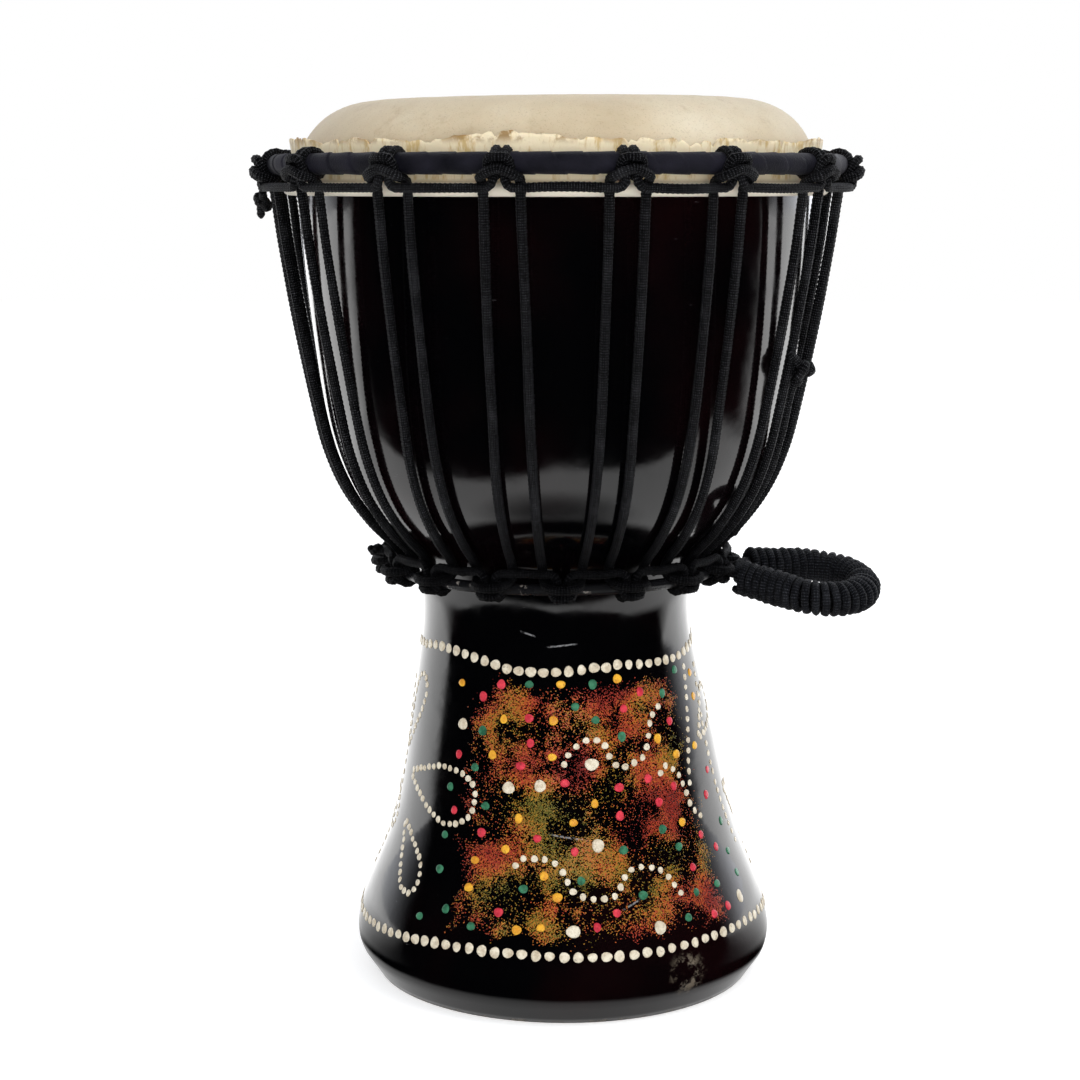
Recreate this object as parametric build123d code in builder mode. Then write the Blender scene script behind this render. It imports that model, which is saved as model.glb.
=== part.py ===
from build123d import *
import os
from math import asin, atan2, cos, degrees, hypot, radians, sin, sqrt, tan

# A 400 mm rope-tuned djembe: carved goblet shell, goatskin head, rings, lacing and rope handle.
# Millimetres, +Z up. The origin is the centre of the foot's rest face, and the lacing pattern is
# counted by azimuth from -Y (the front) towards +X.

os.makedirs("parts", exist_ok=True)

# ---- driving dimensions ----------------------------------------------------------------------

total_height = 400.0

# shell
foot_rest_radius = 88.0          # outer edge of the face that stands on the floor
foot_bore_radius = 72.0
foot_widest_radius = 97.0
waist_radius = 61.7
waist_height = 172.0
rim_radius = 116.5               # outside of the bowl where the collar of skin starts
rim_round = 32.5                 # round-over of the bearing edge

# goatskin
skin_thickness = 0.8
skin_gap = 0.05
flap_radius = 118.0              # middle of the flap that stands up inside the crown ring
flap_top = 384.5

# flesh hoop: a wire ring that the skin is folded round
hoop_ring_radius = 120.0
hoop_height = 362.6
hoop_wire_radius = 2.0

# crown ring: a steel rod ring bound with cloth tape
crown_ring_radius = 126.8
crown_height = 373.2
crown_rod_radius = 3.0
crown_wrap_radius = 4.6

# bottom ring: a steel wire ring round the throat
bottom_ring_radius = 74.5
bottom_height = 191.0
bottom_wire_radius = 2.5

# ropes
rope_radius = 2.0
hitch_rope_radius = 1.75         # the same rope, squeezed where it passes under a ring
rope_air = 0.05
stations = 16
first_station = 12.5             # azimuth of the first upper hitch
half_pair_top = 3.5              # degrees from a hitch to each of its two verticals
half_pair_bottom = 4.75
hitch_half_width = 2.1           # from a hitch's middle to the middle of each strand
run_air = 0.02                   # between a hitch's turn and the level run that it is tied to

top_run_radius = 132.2           # horizontal runs between the hitches
top_run_height = 363.4
bottom_run_radius = 78.9
bottom_run_height = 198.6

# handle
handle_azimuth = 80.0
handle_droop = 7.0               # how far the loop hangs below level
handle_roll = 10.0               # the front leg hangs lower than the back one
handle_core_radius = 4.0
handle_outer_radius = 7.9
loop_centre = 46.5               # from the bottom ring to the middle of the loop's bend
loop_bend_radius = 21.0
loop_root = 12.5
loop_root_half_width = 8.8
eye_rope_radius = 1.7
eye_clearance = 0.4
eye_half_spacing = 1.75
neck_sink = 0.3                  # how far each neck starts inside its eye
neck_overlap = 1.5               # and how far it ends inside its leg
knot_tilt = 60.0                 # the lean of the turn of rope that shows on a knot

# ---- helpers ---------------------------------------------------------------------------------

station_step = 360.0 / stations


def at(azimuth, radius, height):
    """A point by its azimuth from the front, its radius from the axis and its height."""
    return Vector(radius * sin(radians(azimuth)), -radius * cos(radians(azimuth)), height)


def tangent_at(azimuth):
    """The level direction along a ring, towards a growing azimuth."""
    return Vector(cos(radians(azimuth)), sin(radians(azimuth)), 0)


def corner_radii(points, share=0.45):
    """The largest arc for each corner that leaves both of its runs some straight length."""
    radii = []
    for before, corner, after in zip(points, points[1:], points[2:]):
        turn = radians((corner - before).get_angle(after - corner))
        shorter = min((corner - before).length, (after - corner).length)
        radii.append(share * shorter / tan(turn / 2))
    return radii


def finish(piece, name):
    """Label a finished piece and write its file."""
    piece.part.label = name
    export_step(piece.part, f"parts/{name}.step")


def torus_in_profile(ring_radius, height, wire_radius):
    """Sketch a ring's section in the XZ plane of the current sketch."""
    with Locations((ring_radius, height)):
        Circle(wire_radius)


# ---- shell -----------------------------------------------------------------------------------

rim_arc_height = total_height - skin_thickness - skin_gap - rim_round
rim_flat_radius = rim_radius - rim_round
rim_arc_middle = (
    rim_flat_radius + rim_round * cos(radians(45)),
    rim_arc_height + rim_round * sin(radians(45)),
)

with BuildPart() as shell:
    with BuildSketch(Plane.XZ) as shell_section:
        with BuildLine() as shell_outline:
            # foot: rest face, chamfered edge, rounded skirt
            Line((foot_bore_radius, 0), (foot_rest_radius, 0))
            Line((foot_rest_radius, 0), (95.2, 10.5))
            ThreePointArc((95.2, 10.5), (foot_widest_radius, 18.5), (95.6, 28))
            # stem
            Spline(
                (95.6, 28), (83.6, 60), (72.5, 105), (64.2, 150), (waist_radius, waist_height),
                tangents=((-0.22, 1), (0, 1)),
            )
            # bowl
            Spline(
                (waist_radius, waist_height), (63.3, 184), (69.4, 198), (84.6, 215),
                (99.1, 240), (106.9, 270), (112.4, 310), (rim_radius, rim_arc_height),
                tangents=((0, 1), (0, 1)),
            )
            # bearing edge
            ThreePointArc(
                (rim_radius, rim_arc_height),
                rim_arc_middle,
                (rim_flat_radius, rim_arc_height + rim_round),
            )
            Line((rim_flat_radius, rim_arc_height + rim_round), (82.0, 397))
            # hollow: bowl, throat and flared foot
            Spline(
                (82.0, 397), (92.0, 380), (98.5, 350), (98.0, 310), (91.0, 270), (79.0, 238),
                (61.0, 209), (47.0, 183), (44.5, 162), (50.0, 120), (62.0, 60),
                (foot_bore_radius, 0),
            )
        make_face()
    revolve(axis=Axis.Z)
finish(shell, "shell")

# ---- head ------------------------------------------------------------------------------------

# one goatskin: the membrane over the bearing edge, the collar down the shell, the fold round the
# flesh hoop, and the trimmed flap that stands up inside the crown ring
collar_inner = rim_radius + skin_gap
collar_outer = collar_inner + skin_thickness
fold_inner_radius = hoop_wire_radius + skin_gap
fold_outer_radius = fold_inner_radius + skin_thickness
skin_outer_round = rim_round + skin_gap + skin_thickness
skin_arc_height = total_height - skin_outer_round
collar_foot = hoop_height

with BuildPart() as head_skin:
    with BuildSketch(Plane.XZ) as skin_section:
        with BuildLine() as membrane_outline:
            Line((0, total_height), (rim_flat_radius, total_height))
            ThreePointArc(
                (rim_flat_radius, total_height),
                (
                    rim_flat_radius + skin_outer_round * cos(radians(45)),
                    skin_arc_height + skin_outer_round * sin(radians(45)),
                ),
                (collar_outer, skin_arc_height),
            )
            Line((collar_outer, skin_arc_height), (collar_outer, collar_foot))
            Line((collar_outer, collar_foot), (collar_inner, collar_foot))
            Line((collar_inner, collar_foot), (collar_inner, skin_arc_height))
            ThreePointArc(
                (collar_inner, skin_arc_height),
                (
                    rim_flat_radius + (rim_round + skin_gap) * cos(radians(45)),
                    skin_arc_height + (rim_round + skin_gap) * sin(radians(45)),
                ),
                (rim_flat_radius, total_height - skin_thickness),
            )
            Line((rim_flat_radius, total_height - skin_thickness), (0, total_height - skin_thickness))
            Line((0, total_height - skin_thickness), (0, total_height))
        make_face()
        torus_in_profile(hoop_ring_radius, hoop_height, fold_outer_radius)
        with Locations((flap_radius, (flap_top + hoop_height) / 2)):
            Rectangle(skin_thickness, flap_top - hoop_height)
        with Locations((hoop_ring_radius, hoop_height)):
            Circle(fold_inner_radius, mode=Mode.SUBTRACT)
    revolve(axis=Axis.Z)
finish(head_skin, "head_skin")


def wire_ring(name, ring_radius, height, wire_radius):
    """A closed ring of round wire, level and centred on the drum's axis."""
    with BuildPart() as ring:
        with BuildSketch(Plane.XZ):
            torus_in_profile(ring_radius, height, wire_radius)
        revolve(axis=Axis.Z)
    finish(ring, name)


wire_ring("flesh_hoop", hoop_ring_radius, hoop_height, hoop_wire_radius)
wire_ring("crown_ring", crown_ring_radius, crown_height, crown_rod_radius)
wire_ring("bottom_ring", bottom_ring_radius, bottom_height, bottom_wire_radius)

with BuildPart() as crown_ring_wrap:
    with BuildSketch(Plane.XZ):
        torus_in_profile(crown_ring_radius, crown_height, crown_wrap_radius)
        with Locations((crown_ring_radius, crown_height)):
            Circle(crown_rod_radius + rope_air, mode=Mode.SUBTRACT)
    revolve(axis=Axis.Z)
finish(crown_ring_wrap, "crown_ring_wrap")

# ---- cradle ropes: level runs, and a cow hitch round the ring at each station ------------------


def rope_turn(centre, azimuth, turn_radius, wire_radius):
    """One closed turn of rope round a ring, in the upright plane that cuts the ring square."""
    with BuildPart(Plane(origin=centre, z_dir=tangent_at(azimuth))) as turn:
        Torus(turn_radius, wire_radius)
    return turn.part


def straight_rope(start, end, wire_radius):
    """A short straight piece of rope between two points."""
    with BuildPart(mode=Mode.PRIVATE) as piece:
        with BuildSketch(Plane(origin=start, z_dir=end - start)):
            Circle(wire_radius)
        extrude(amount=(end - start).length)
    return piece.part


def cradle_rope(name, ring_radius, ring_height, ring_wire, run_radius, run_height, first_azimuth):
    """A level rope, tied to the drum's ring by a hitch of two turns at every station.

    The turns pass close round the ring on its far side and reach the level rope on its near side.
    """
    to_run = Vector(run_radius - ring_radius, 0, run_height - ring_height)
    far_reach = ring_wire + hitch_rope_radius + rope_air
    near_reach = to_run.length - rope_radius - hitch_rope_radius - run_air
    turn_radius = (near_reach + far_reach) / 2
    shift = to_run.normalized() * ((near_reach - far_reach) / 2)
    with BuildPart() as run:
        with BuildSketch(Plane.XZ):
            torus_in_profile(run_radius, run_height, rope_radius)
        revolve(axis=Axis.Z)
    solids = [run.part.solid()]
    for number in range(stations):
        azimuth = first_azimuth + number * station_step
        centre = at(azimuth, ring_radius + shift.X, ring_height + shift.Z)
        for side in (-1, 1):
            turn_centre = centre + tangent_at(azimuth) * side * hitch_half_width
            turn = rope_turn(turn_centre, azimuth, turn_radius, hitch_rope_radius)
            solids.append(turn.solid())
    rope = Compound(solids)
    rope.label = name
    export_step(rope, f"parts/{name}.step")


cradle_rope(
    "top_cradle_rope", crown_ring_radius, crown_height, crown_wrap_radius,
    top_run_radius, top_run_height, first_station,
)
cradle_rope(
    "bottom_cradle_rope", bottom_ring_radius, bottom_height, bottom_wire_radius,
    bottom_run_radius, bottom_run_height, first_station + station_step / 2,
)

# ---- lacing: one rope in sixteen equal spans, each up, over a top hitch, down and on ------------

# half of the span by (share of the half spacing, radius, height): the bend in front of the top
# hitch, the gap between run and crown ring, then the long straight run down to the bowl
top_bend = [(0.0, 139.3, 372.4), (0.86, 135.2, 369.9), (1.0, 127.8, 366.0)]
# down the bowl, from where the rope first lies on it
bowl_route = [(110.3, 268.0), (105.2, 246.5), (97.2, 227.9), (85.4, 211.4), (76.0, 201.9)]
# the gap between bottom run and ring, and the bend in front of the bottom hitch
bottom_bend = [(1.0, 73.5, 196.8), (0.72, 80.6, 193.1), (0.3, 83.7, 191.6)]


def span_side(middle, side):
    """The route from the middle of the top bend to the middle of the next bottom bend."""
    top_azimuths = [middle + side * share * half_pair_top for share, _, _ in top_bend]
    points = [at(a, r, z) for a, (_, r, z) in zip(top_azimuths, top_bend)]
    for number, (radius, height) in enumerate(bowl_route):
        spread = (number + 1) / (len(bowl_route) + 1)
        offset = half_pair_top + (half_pair_bottom - half_pair_top) * spread
        points.append(at(middle + side * offset, radius, height))
    half_gap = station_step / 2 - half_pair_bottom
    for share, radius, height in bottom_bend:
        azimuth = middle + side * (station_step / 2 - share * half_gap)
        points.append(at(azimuth, radius, height))
    # the span ends square to the hitch, on a level run, so that its neighbour meets it face to face
    level_radius = radius * cos(radians(share * half_gap))
    points.append(at(middle + side * station_step / 2, level_radius, height))
    return points


def lacing_span(name, middle):
    """One span of the lacing, with its two ends face to face with its neighbours."""
    left = span_side(middle, -1)
    right = span_side(middle, 1)
    route = left[::-1] + right[1:]
    radii = corner_radii(route)
    with BuildPart() as span:
        with BuildLine() as path:
            FilletPolyline(*route, radius=radii)
        with BuildSketch(Plane(origin=path.line @ 0, z_dir=path.line % 0)):
            Circle(rope_radius)
        sweep()
    finish(span, name)
    return path.wire().length, radii


lacing_length = 0.0
for number in range(stations):
    length, radii = lacing_span(f"lacing_rope_{number + 1:02d}", first_station + number * station_step)
    lacing_length += length
print("lacing rope", round(lacing_length), "mm, arc radii", [round(radius, 1) for radius in radii])

# ---- spare tail of the lacing rope, its join knot and the cradle ropes' end knots ---------------

tail_route = [
    at(64.4, 113.6, 276.0), at(66.2, 107.8, 254.5), at(68.4, 100.6, 235.5), at(70.8, 88.2, 215.4),
    at(72.0, 83.0, 207.6),
]
with BuildPart() as tail_rope:
    with BuildLine() as tail_path:
        FilletPolyline(*tail_route, radius=corner_radii(tail_route))
    with BuildSketch(Plane(origin=tail_path.line @ 0, z_dir=tail_path.line % 0)):
        Circle(rope_radius)
    sweep()
finish(tail_rope, "tail_rope")


def knot(name, centre, turn_radius):
    """An overhand knot: a lump with one turn of rope drawn round it."""
    with BuildPart() as lump:
        with Locations(centre):
            Sphere(turn_radius + rope_radius / 2)
            Torus(turn_radius, rope_radius, rotation=(knot_tilt, 0, 0))
    finish(lump, name)


knot("join_knot", at(63.9, 118.6, 284.4), 2.7)
knot("top_end_knot", at(-86.0, 132.2, 356.8), 2.5)
knot("bottom_end_knot", at(-80.0, 85.4, 199.5), 2.2)

# ---- handle: a rope loop that hinges on the bottom ring, wound with rope -------------------------

hinge_point = at(handle_azimuth, bottom_ring_radius, bottom_height)
outward = Vector(sin(radians(handle_azimuth)), -cos(radians(handle_azimuth)), 0)
sideways = tangent_at(handle_azimuth)
loop_x = outward.rotate(Axis((0, 0, 0), sideways), handle_droop)
loop_normal = loop_x.cross(sideways).rotate(Axis((0, 0, 0), loop_x), handle_roll)
loop_plane = Plane(origin=hinge_point, x_dir=loop_x, z_dir=loop_normal)

# the two legs run straight from the root and touch the round bend
reach = loop_centre - loop_root
root_to_centre = hypot(reach, loop_root_half_width)
tangent_run = sqrt(root_to_centre**2 - loop_bend_radius**2)
leg_slope = asin(loop_bend_radius / root_to_centre) - atan2(loop_root_half_width, reach)
bend_start = (
    loop_root + tangent_run * cos(leg_slope),
    loop_root_half_width + tangent_run * sin(leg_slope),
)


def handle_wire():
    """The middle line of the wound loop, from root to root."""
    Line((loop_root, -loop_root_half_width), (bend_start[0], -bend_start[1]))
    ThreePointArc(
        (bend_start[0], -bend_start[1]),
        (loop_centre + loop_bend_radius, 0),
        bend_start,
    )
    Line(bend_start, (loop_root, loop_root_half_width))


eye_turn_radius = bottom_wire_radius + eye_clearance + eye_rope_radius
neck_start = eye_turn_radius - neck_sink
neck_end = loop_root + neck_overlap

with BuildPart() as handle_core:
    with BuildLine(loop_plane) as core_path:
        handle_wire()
    with BuildSketch(Plane(origin=core_path.line @ 0, z_dir=core_path.line % 0)):
        Circle(handle_core_radius)
    sweep()
    for side in (-1, 1):
        eye_centre = hinge_point + sideways * side * eye_half_spacing
        add(rope_turn(eye_centre, handle_azimuth, eye_turn_radius, eye_rope_radius))
        neck_near = eye_centre + loop_x * neck_start
        neck_far = loop_plane.from_local_coords(Vector(neck_end, side * loop_root_half_width, 0))
        add(straight_rope(neck_near, neck_far, eye_rope_radius))
finish(handle_core, "handle_core")

with BuildPart() as handle_winding:
    with BuildLine(loop_plane) as winding_path:
        handle_wire()
    winding_start = Plane(origin=winding_path.line @ 0, z_dir=winding_path.line % 0)
    with BuildSketch(winding_start):
        Circle(handle_outer_radius)
        Circle(handle_core_radius + rope_air, mode=Mode.SUBTRACT)
    sweep()
finish(handle_winding, "handle_winding")

print("handle hinge at", tuple(round(value, 3) for value in hinge_point))
print("handle hinge axis", tuple(round(-value, 5) for value in sideways))
print("handle loop length", round(winding_path.wire().length, 1), "mm")
print("degrees of leg slope", round(degrees(leg_slope), 1))
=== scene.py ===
import random
from math import atan2, cos, degrees, hypot, pi, radians, sin, asin, sqrt

import bpy
import numpy as np
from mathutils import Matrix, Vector, noise


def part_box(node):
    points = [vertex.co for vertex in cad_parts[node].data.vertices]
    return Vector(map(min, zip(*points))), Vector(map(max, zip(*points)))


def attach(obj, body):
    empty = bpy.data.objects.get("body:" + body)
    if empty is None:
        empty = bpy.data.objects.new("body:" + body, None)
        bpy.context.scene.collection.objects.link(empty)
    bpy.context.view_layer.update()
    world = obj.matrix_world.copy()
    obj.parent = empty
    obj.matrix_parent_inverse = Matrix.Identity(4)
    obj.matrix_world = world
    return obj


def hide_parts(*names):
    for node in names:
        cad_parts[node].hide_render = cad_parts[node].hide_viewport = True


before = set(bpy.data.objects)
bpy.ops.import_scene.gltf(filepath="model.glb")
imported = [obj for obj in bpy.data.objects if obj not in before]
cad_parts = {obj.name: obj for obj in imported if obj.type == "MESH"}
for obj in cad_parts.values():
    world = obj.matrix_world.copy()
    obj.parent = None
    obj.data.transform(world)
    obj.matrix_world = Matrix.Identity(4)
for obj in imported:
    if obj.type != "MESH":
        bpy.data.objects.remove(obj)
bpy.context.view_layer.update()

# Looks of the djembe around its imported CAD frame. Metres, +Z up, the front towards -Y.
# Lengths in the tables below are in millimetres, and azimuths in degrees from the front.
MM = 0.001
scene = bpy.context.scene

# ---- camera ----

camera_data = bpy.data.cameras.new("camera")
camera_data.lens = 75.9
camera_data.sensor_width = 36.0
camera = bpy.data.objects.new("camera", camera_data)
camera.location = (-0.0074, -1.045, 0.36566)
camera.rotation_euler = (radians(90 - 8.935), 0, 0)
scene.collection.objects.link(camera)
scene.camera = camera
scene.view_settings.view_transform = "Standard"

# ---- shader helpers ----


def node(tree, kind, inputs=None, **settings):
    """Add a node, set its properties, and fill each input with a value or a link."""
    made = tree.nodes.new(kind)
    for key, value in settings.items():
        setattr(made, key, value)
    for key, value in (inputs or {}).items():
        if isinstance(value, bpy.types.NodeSocket):
            tree.links.new(value, made.inputs[key])
        else:
            made.inputs[key].default_value = value
    return made


def math(tree, operation, first, second=0.0, clamp=False):
    inputs = {0: first, 1: second}
    return node(tree, "ShaderNodeMath", inputs, operation=operation, use_clamp=clamp).outputs[0]


def times(tree, first, second):
    return math(tree, "MULTIPLY", first, second)


def plus(tree, first, second, clamp=False):
    return math(tree, "ADD", first, second, clamp)


def minus(tree, first, second):
    return math(tree, "SUBTRACT", first, second)


def xyz(tree, vector):
    return node(tree, "ShaderNodeSeparateXYZ", {0: vector}).outputs


def scaled(tree, vector, factors):
    """The vector with each of its axes times a factor."""
    inputs = {0: vector, 1: factors}
    return node(tree, "ShaderNodeVectorMath", inputs, operation="MULTIPLY").outputs[0]


def cells(tree, where, scale):
    return node(tree, "ShaderNodeTexVoronoi", {"Vector": where, "Scale": scale}).outputs


def fade(tree, value, start, end, low=0.0, high=1.0):
    """A smooth step from low at start to high at end."""
    inputs = {"Value": value, "From Min": start, "From Max": end, "To Min": low, "To Max": high}
    kind = "ShaderNodeMapRange"
    return node(tree, kind, inputs, interpolation_type="SMOOTHSTEP").outputs[0]


def blotches(tree, where, scale, detail=3.0, rough=0.55):
    inputs = {"Vector": where, "Scale": scale, "Detail": detail, "Roughness": rough}
    return node(tree, "ShaderNodeTexNoise", inputs).outputs["Fac"]


def mix(tree, share, first, second):
    inputs = {0: share, 6: first, 7: second}
    return node(tree, "ShaderNodeMix", inputs, data_type="RGBA").outputs[2]


def ramp(tree, value, stops):
    made = node(tree, "ShaderNodeValToRGB", {0: value})
    elements = made.color_ramp.elements
    while len(elements) < len(stops):
        elements.new(0.5)
    for element, (place, colour) in zip(elements, stops):
        element.position = place
        element.color = (*colour, 1)
    return made.outputs[0]


def bump(tree, height, distance, strength=1.0):
    inputs = {"Height": height, "Distance": distance, "Strength": strength}
    return node(tree, "ShaderNodeBump", inputs).outputs[0]


def material(name):
    """A material with a Principled shader: (material, its tree, shader, object coordinates)."""
    made = bpy.data.materials.new(name)
    made.use_nodes = True
    tree = made.node_tree
    shader = tree.nodes["Principled BSDF"]
    return made, tree, shader, node(tree, "ShaderNodeTexCoord").outputs["Object"]


def wire(tree, shader, **inputs):
    """Link sockets to the shader's inputs, by name with _ for a space."""
    for key, value in inputs.items():
        tree.links.new(value, shader.inputs[key.replace("_", " ")])


# ---- world, floor and lights ----

# the lacquer mirrors a white room that ends beside the drum, with a dark room in front of it
world = bpy.data.worlds.new("studio")
scene.world = world
world.use_nodes = True
tree = world.node_tree
rays = node(tree, "ShaderNodeLightPath")
direction = node(tree, "ShaderNodeTexCoord").outputs["Generated"]
axes = xyz(tree, direction)
behind = fade(tree, axes["Y"], 0.12, 0.72)
to_right = fade(tree, axes["X"], -0.3, 0.6, 1.6, 2.5)
bluish = node(tree, "ShaderNodeVectorMath", {0: (1.0, 1.02, 1.08), 3: to_right}, operation="SCALE")
mirrored = mix(tree, behind, (0.0, 0.0, 0.0, 1), bluish.outputs[0])
soft_room = (0.60, 0.61, 0.63, 1)
white = (1.0, 1.0, 1.0, 1)
room = mix(tree, rays.outputs["Is Glossy Ray"], soft_room, mirrored)
room = mix(tree, rays.outputs["Is Camera Ray"], room, white)
tree.links.new(room, tree.nodes["Background"].inputs["Color"])


def mesh_object(name, points, faces, smooth=True):
    mesh = bpy.data.meshes.new(name)
    mesh.from_pydata([tuple(p) for p in points], [], [tuple(f) for f in faces])
    mesh.update()
    if smooth:
        mesh.shade_smooth()
    made = bpy.data.objects.new(name, mesh)
    scene.collection.objects.link(made)
    return made


floor_reach = 6.0
corners = [(-1, -1), (1, -1), (1, 1), (-1, 1)]
floor = mesh_object(
    "floor", [(x * floor_reach, y * floor_reach, -0.0004) for x, y in corners], [(0, 1, 2, 3)], False
)
paper, tree, shader, where = material("paper")
shader.inputs["Base Color"].default_value = (0.93, 0.93, 0.93, 1)
shader.inputs["Roughness"].default_value = 0.9
shader.inputs["Specular IOR Level"].default_value = 0.0
rays = node(tree, "ShaderNodeLightPath")
axes = xyz(tree, where)
incoming = node(tree, "ShaderNodeNewGeometry").outputs["Incoming"]
steep = fade(tree, xyz(tree, incoming)["Z"], 0.28, 0.40)
# the bowl's rays fall steeply, and find a bright sheet whose front edge slants back to each side
sheet_light = 1.4
across = math(tree, "ABSOLUTE", axes["X"])
slanted = minus(tree, axes["Y"], times(tree, across, 0.50))
slanted = plus(tree, slanted, times(tree, axes["X"], 0.18))
in_front = fade(tree, slanted, -0.43, -0.38)
in_front = times(tree, in_front, fade(tree, across, 0.85, 0.70))
beside = minus(tree, axes["Y"], times(tree, across, 0.40))
beside = fade(tree, beside, 0.00, 0.12)
# the throat's and the foot's rays are flatter, and find light only beside and behind the drum
far_light = 2.3
further = minus(tree, axes["Y"], times(tree, across, 0.18))
further = times(tree, fade(tree, further, -0.10, 0.20), far_light)
length = node(tree, "ShaderNodeVectorMath", {0: where}, operation="LENGTH")
from_drum = length.outputs["Value"]
# painted shadow: the sheet in front gives no light to rays that reach the floor after a short path, as
# those from the throat do
fallen = minus(tree, rays.outputs["Ray Length"], times(tree, from_drum, 0.5))
in_front = times(tree, in_front, fade(tree, fallen, 0.149, 0.163))
# seen only in reflections: a painted glow on the floor right under the foot's edge, and a painted shadow
# with no light within 0.15 to 0.18 m of the drum's axis
painted_glow_by_foot = fade(tree, from_drum, 0.100, 0.108, 0.64, 0.0)
past_painted_shadow = fade(tree, from_drum, 0.150, 0.180)
below_bowl = math(tree, "MAXIMUM", times(tree, in_front, past_painted_shadow), beside)
below_bowl = times(tree, times(tree, below_bowl, sheet_light), steep)
further = times(tree, further, minus(tree, 1.0, steep))
paper_end = math(tree, "MAXIMUM", plus(tree, below_bowl, further), painted_glow_by_foot)
lit = node(tree, "ShaderNodeEmission", {"Color": white, "Strength": 0.55})
seen = node(tree, "ShaderNodeAddShader", {0: shader.outputs[0], 1: lit.outputs[0]})
reflected = node(tree, "ShaderNodeEmission", {"Color": white, "Strength": paper_end})
kinds = {0: rays.outputs["Is Camera Ray"], 1: shader.outputs[0], 2: seen.outputs[0]}
direct = node(tree, "ShaderNodeMixShader", kinds)
kinds = {0: rays.outputs["Is Glossy Ray"], 1: direct.outputs[0], 2: reflected.outputs[0]}
whole = node(tree, "ShaderNodeMixShader", kinds)
tree.links.new(whole.outputs[0], tree.nodes["Material Output"].inputs["Surface"])
floor.data.materials.append(paper)


def soft_light(name, place, size, watts):
    """A large lamp aimed at the drum, which the lacquer doesn't mirror."""
    data = bpy.data.lights.new(name, "AREA")
    data.size = size
    data.energy = watts
    lamp = bpy.data.objects.new(name, data)
    lamp.location = place
    lamp.rotation_euler = (Vector((0, 0, 0.25)) - Vector(place)).to_track_quat("-Z", "Y").to_euler()
    lamp.visible_glossy = False
    scene.collection.objects.link(lamp)


soft_light("key", (1.1, -0.7, 1.7), 1.4, 14)
soft_light("fill", (-1.3, -1.1, 1.1), 1.6, 5)
soft_light("front", (0.15, -1.45, 0.22), 0.9, 10)

# ---- geometry helpers ----


def at(azimuth, radius, height):
    """A point by azimuth in degrees from the front, radius and height in millimetres."""
    a = radians(azimuth)
    return np.array((radius * sin(a), -radius * cos(a), height)) * MM


def spline_through(points, first_way, last_way, count):
    """A smooth line through the points, with the given direction at each end."""
    p = np.array(points, float)
    t = np.concatenate([[0], np.cumsum(np.linalg.norm(np.diff(p, axis=0), axis=1))])
    n = len(p)
    h = np.diff(t)
    a = np.zeros((n, n))
    b = np.zeros((n, 2))
    a[0, 0] = a[-1, -1] = 1
    b[0] = np.array(first_way) / np.linalg.norm(first_way)
    b[-1] = np.array(last_way) / np.linalg.norm(last_way)
    for i in range(1, n - 1):
        a[i, i - 1 : i + 2] = h[i], 2 * (h[i - 1] + h[i]), h[i - 1]
        b[i] = 3 * (h[i] * (p[i] - p[i - 1]) / h[i - 1] + h[i - 1] * (p[i + 1] - p[i]) / h[i])
    slope = np.linalg.solve(a, b)
    u = np.linspace(0, t[-1], count)
    i = np.clip(np.searchsorted(t, u) - 1, 0, n - 2)
    s = ((u - t[i]) / h[i])[:, None]
    step = h[i][:, None]
    start = (1 + 2 * s) * (1 - s) ** 2 * p[i] + s * (1 - s) ** 2 * step * slope[i]
    end = s * s * (3 - 2 * s) * p[i + 1] + s * s * (s - 1) * step * slope[i + 1]
    return start + end


def arc(centre, radius, first, last, count):
    """Points on an arc in the radius-height plane, angles in degrees from the outward axis."""
    angles = np.radians(np.linspace(first, last, count))
    return np.stack([centre[0] + radius * np.cos(angles), centre[1] + radius * np.sin(angles)], 1)


def wobble(point, scale, seed=0.0):
    """Seeded noise from -1 to 1 at a point in metres."""
    return noise.noise(Vector(point) * scale + Vector((seed, seed * 1.7, -seed)))


# ---- shell ----

drum_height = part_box("head_skin")[1].z / MM
rim_radius = 116.5
rim_round = 32.5
rim_arc_height = drum_height - 0.85 - rim_round
rim_flat_radius = rim_radius - rim_round
waist = (61.7, 172.0)

chamfer = np.linspace((88.0, 0.0), (95.2, 10.5), 5)
skirt = spline_through([(95.2, 10.5), (97.0, 18.5), (95.6, 28.0)], (0.5, 1), (-0.22, 1), 12)
stem = spline_through(
    [(95.6, 28), (83.6, 60), (72.5, 105), (64.2, 150), waist], (-0.22, 1), (0, 1), 60
)
bowl_points = [(63.3, 184), (69.4, 198), (84.6, 215), (99.1, 240), (106.9, 270), (112.4, 310)]
bowl = spline_through([waist, *bowl_points, (rim_radius, rim_arc_height)], (0, 1), (0, 1), 90)
bearing_edge = arc((rim_flat_radius, rim_arc_height), rim_round, 0, 90, 14)
hollow = spline_through(
    [
        (82.0, 397), (92.0, 380), (98.5, 350), (98.0, 310), (91.0, 270), (79.0, 238), (61.0, 209),
        (47.0, 183), (44.5, 162), (50.0, 120), (62.0, 60), (72.0, 0),
    ],
    (0.5, -1), (0.16, -1), 80,
)
outside = np.vstack([chamfer, skirt[1:], stem[1:], bowl[1:], bearing_edge[1:]])
rest_face = np.array([(83.0, 0.0), (77.0, 0.0)])
outline = np.vstack([outside, hollow, rest_face[::-1]])
turns = 288


def lathe_faces(rows, columns, closed):
    """Quads of a lathe mesh with its rows along the outline and its columns round the axis."""
    faces = []
    for i in range(rows if closed else rows - 1):
        for j in range(columns):
            k = (j + 1) % columns
            m = (i + 1) % rows
            faces.append((i * columns + j, i * columns + k, m * columns + k, m * columns + j))
    return faces


foot_offset = 3.6  # the foot is carved a little to the right of the bowl
foot_radius = 97.0
chip_azimuth = 36.0
chip_height = 20.0


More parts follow.
